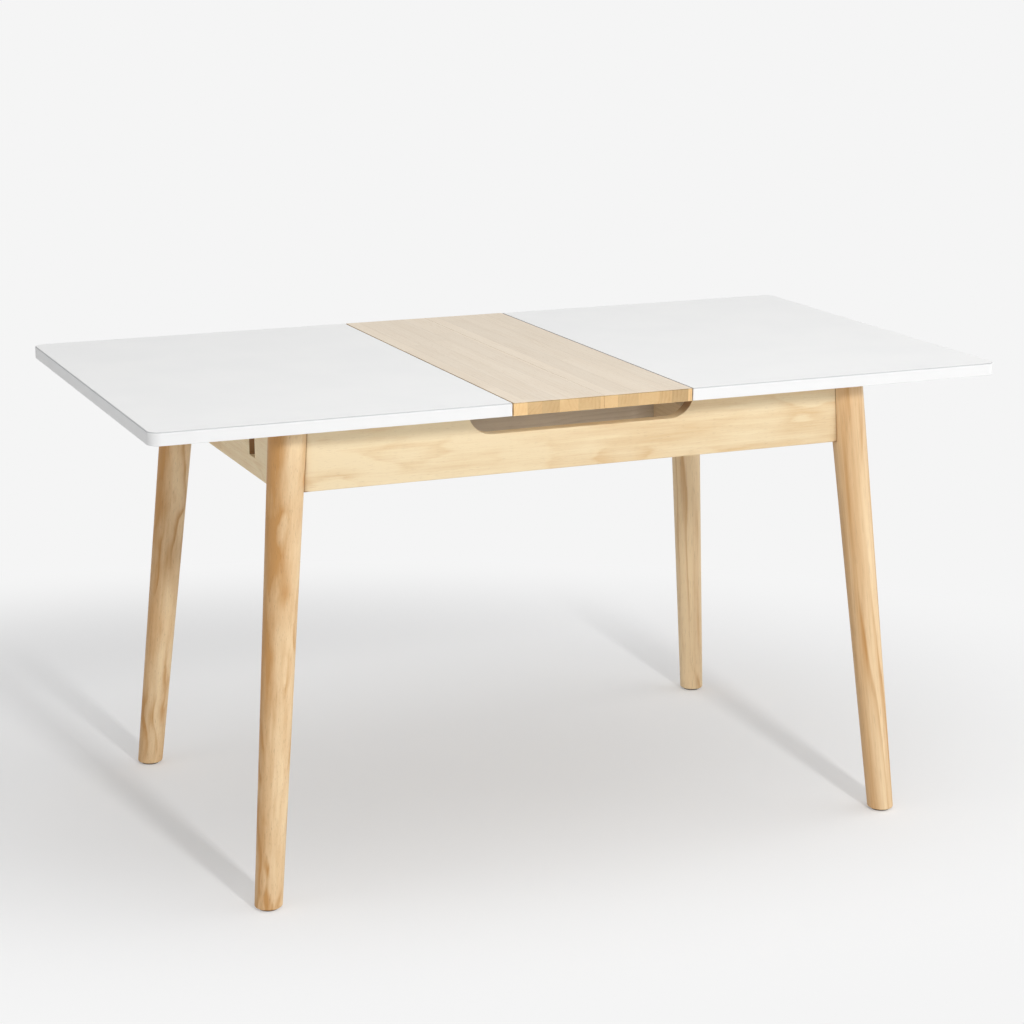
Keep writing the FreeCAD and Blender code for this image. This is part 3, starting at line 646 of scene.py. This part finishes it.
innerWood = {"ringWidth": 0.007, "wander": 0.05, "ringDepth": 0.55, "fibreDepth": 0.5, "patchDepth": 0.8,
             "toneShift": 0.0, "poreDepth": 0.35, "pale": (0.74, 0.58, 0.38), "dark": (0.52, 0.35, 0.18),
             "pore": (0.33, 0.20, 0.10), "bump": 0.3, "sheen": 0.3}
runnerWood = {**innerWood, "pale": (0.64, 0.55, 0.44), "dark": (0.48, 0.39, 0.29)}
innerHearts = {"rail": (0.17, 0.4, 0.62), "block": (0.42, 0.23, 0.71),
               "beam": (0.5, 0.22, 0.60), "dowel": (-0.24, 0.14, 0.4),
               "runner_left": (0.7, 0.12, 0.63), "runner_right": (0.7, 0.16, 0.63)}


def heartOf(board, signX, signY):
    # where the log's heart lies, mirrored for the board's place in the table
    x, y, z = innerHearts[board]
    return signX * x, signY * y, z


leafFinish = leafMaterial()
innerEasing = boardEasing["inner"]
for side, sign in sides.items():
    easeBoards(leafFinish, "leaf_%s_half" % side, "leaf_wood", boardEasing["leaf"], "leaf_" + side)
    endWood = apronMaterial("apronWood_" + side, apronHearts[side], "y")
    easeBoards(endWood, "frame", "apron_wood", boardEasing["apron"], side + "_apron")
    railWood = boardMaterial("railWood_" + side, innerWood, heartOf("rail", sign, sign), "y")
    easeBoards(railWood, "frame", "inner_wood", innerEasing, "cross_rail_" + side)
    for end, across in ends.items():
        name = "%s_%s" % (side, end)
        heart = heartOf("runner_" + side, sign, across)
        slideWood = boardMaterial("runnerWood_" + name, runnerWood, heart, "x")
        easeBoards(slideWood, side + "_half", "inner_wood", innerEasing, "runner_" + name, "spacer_" + name)
        diagonal = "falling" if sign * across > 0 else "rising"
        blockWood = boardMaterial("blockWood_" + name, innerWood, heartOf("block", sign, across), diagonal)
        easeBoards(blockWood, "frame", "inner_wood", innerEasing, "corner_block_%s_%s" % (end, side))
    dowelWood = boardMaterial("dowelWood_" + side, innerWood, heartOf("dowel", sign, 1), "z")
    dress(dowelWood, "runner_stops_" + side)
for end, across in ends.items():
    beamWood = boardMaterial("beamWood_" + end, innerWood, heartOf("beam", across, across), "x")
    easeBoards(beamWood, "frame", "inner_wood", innerEasing, "guide_beam_" + end)
steel = plainFinish("zincSteel", steelLook)
dress(steel, "post_catches", "plate_screws", "runner_screws_left", "runner_screws_right",
      "lift_post_front", "lift_post_back")
dress(steel, *["leg_bolts_%s_%s" % (end, side) for end in ends for side in sides])
dress(plainFinish("hingeBrass", brassLook), "hinge_cups_left", "hinge_cups_right")
dress(plainFinish("paleNylon", nylonLook), "guide_bush_front", "guide_bush_back", "slip_pads")
dress(plainFinish("darkGlide", glideLook), "foot_glides")
print("boards eased and fittings finished")


floorLook = {"half": 90.0, "colour": (0.93, 0.933, 0.94), "roughness": 0.9, "sheen": 0.1,
             "paleTone": 0.913, "share": 0.27, "near": 0.45,
             "middle": (-0.15, 0.31, 0), "turn": -23.15, "reach": (1.9, 1.22, 1)}


def seenDirectly(tree):
    # the camera, and what shines or lets light through, see the pale tone itself
    path = addNode(tree, "ShaderNodeLightPath")
    return calc(tree, "MAXIMUM", path.outputs["Is Camera Ray"],
                calc(tree, "MAXIMUM", path.outputs["Is Glossy Ray"], path.outputs["Is Transmission Ray"]))


def makeFloor():
    # a wide level square, clear from below; it is seen more and more in its plain pale tone
    # towards the rim of an oval round the table, and in that tone alone outside it
    half = floorLook["half"]
    corners = [(-half, -half, 0), (half, -half, 0), (half, half, 0), (-half, half, 0)]
    mesh = bpy.data.meshes.new("floor")
    mesh.from_pydata(corners, [], [(0, 1, 2, 3)])
    floor = bpy.data.objects.new("floor", mesh)
    bpy.context.scene.collection.objects.link(floor)
    material, tree, shader = newMaterial("paleFloor")
    shader.inputs["Base Color"].default_value = (*floorLook["colour"], 1)
    shader.inputs["Roughness"].default_value = floorLook["roughness"]
    shader.inputs["Specular IOR Level"].default_value = floorLook["sheen"]
    oval = addNode(tree, "ShaderNodeMapping", vector_type="TEXTURE")
    feed(tree, oval.inputs["Vector"], addNode(tree, "ShaderNodeTexCoord").outputs["Object"])
    feed(tree, oval.inputs["Location"], floorLook["middle"])
    feed(tree, oval.inputs["Rotation"], (0, 0, math.radians(floorLook["turn"])))
    feed(tree, oval.inputs["Scale"], floorLook["reach"])
    away = calcVector(tree, "LENGTH", oval.outputs["Vector"])
    share = spread(tree, away, floorLook["near"], 1.0, floorLook["share"], 1.0)
    glow = addNode(tree, "ShaderNodeEmission")
    glow.inputs["Color"].default_value = (1, 1, 1, 1)
    glow.inputs["Strength"].default_value = floorLook["paleTone"]
    mixed = addNode(tree, "ShaderNodeMixShader")
    feed(tree, mixed.inputs["Fac"], calc(tree, "MULTIPLY", share, seenDirectly(tree)))
    feed(tree, mixed.inputs[1], shader.outputs["BSDF"])
    feed(tree, mixed.inputs[2], glow.outputs["Emission"])
    oneSided = addNode(tree, "ShaderNodeMixShader")
    feed(tree, oneSided.inputs["Fac"], addNode(tree, "ShaderNodeNewGeometry").outputs["Backfacing"])
    feed(tree, oneSided.inputs[1], mixed.outputs["Shader"])
    feed(tree, oneSided.inputs[2], addNode(tree, "ShaderNodeBsdfTransparent").outputs["BSDF"])
    feed(tree, tree.nodes["Material Output"].inputs["Surface"], oneSided.outputs["Shader"])
    mesh.materials.append(material)


worldLight = 0.21
lamps = {"key": {"spot": (0.12, -3.85, 2.38), "aim": (0, 0, 0.5), "power": 73.0, "size": (0.28, 0.6)},
         "right": {"spot": (3.4, -0.9, 1.3), "aim": (0, 0, 0.4), "power": 28.0, "size": (3.0, 2.2)},
         "left": {"spot": (-3.6, -0.4, 1.2), "aim": (0, 0, 0.45), "power": 12.0, "size": (2.5, 2.0)},
         "ceiling": {"spot": (0.4, -0.3, 4.5), "aim": (0.1, 0, 0.3), "power": 117.0, "size": (5.5, 5.5)}}


def makeLights():
    world = bpy.data.worlds.new("studio")
    world.use_nodes = True
    tree = world.node_tree
    background = tree.nodes["Background"]
    background.inputs["Color"].default_value = (1, 1, 1, 1)
    feed(tree, background.inputs["Strength"],
         spread(tree, seenDirectly(tree), 0.0, 1.0, worldLight, floorLook["paleTone"]))
    bpy.context.scene.world = world
    for name, setting in lamps.items():
        light = bpy.data.lights.new(name, "AREA")
        light.shape = "RECTANGLE"
        light.size, light.size_y = setting["size"]
        light.energy = setting["power"]
        lamp = bpy.data.objects.new(name, light)
        bpy.context.scene.collection.objects.link(lamp)
        spot, aim = Vector(setting["spot"]), Vector(setting["aim"])
        lamp.rotation_euler = (aim - spot).to_track_quat("-Z", "Y").to_euler()
        lamp.location = spot


cameraView = {"spot": (-1.523, -3.585, 1.468), "yaw": 23.15, "pitch": -14.21, "roll": 0.15,
              "lens": 84.69, "sensor": 36, "farthest": 500}


def makeCamera():
    # yaw is measured from +Y towards +X, pitch is negative looking down
    yaw, pitch, roll = (math.radians(cameraView[key]) for key in ("yaw", "pitch", "roll"))
    forward = Vector((math.sin(yaw) * math.cos(pitch), math.cos(yaw) * math.cos(pitch), math.sin(pitch)))
    level = Vector((math.cos(yaw), -math.sin(yaw), 0))
    upright = level.cross(forward)
    right = level * math.cos(roll) + upright * math.sin(roll)
    up = upright * math.cos(roll) - level * math.sin(roll)
    lens = bpy.data.cameras.new("camera")
    lens.lens = cameraView["lens"]
    lens.sensor_width = cameraView["sensor"]
    lens.clip_end = cameraView["farthest"]
    camera = bpy.data.objects.new("camera", lens)
    bpy.context.scene.collection.objects.link(camera)
    turned = Matrix((right, up, -forward)).transposed().to_4x4()
    camera.matrix_world = Matrix.Translation(cameraView["spot"]) @ turned
    bpy.context.scene.camera = camera


makeFloor()
makeLights()
makeCamera()
bpy.context.scene.view_settings.view_transform = "Standard"
print("studio ready")
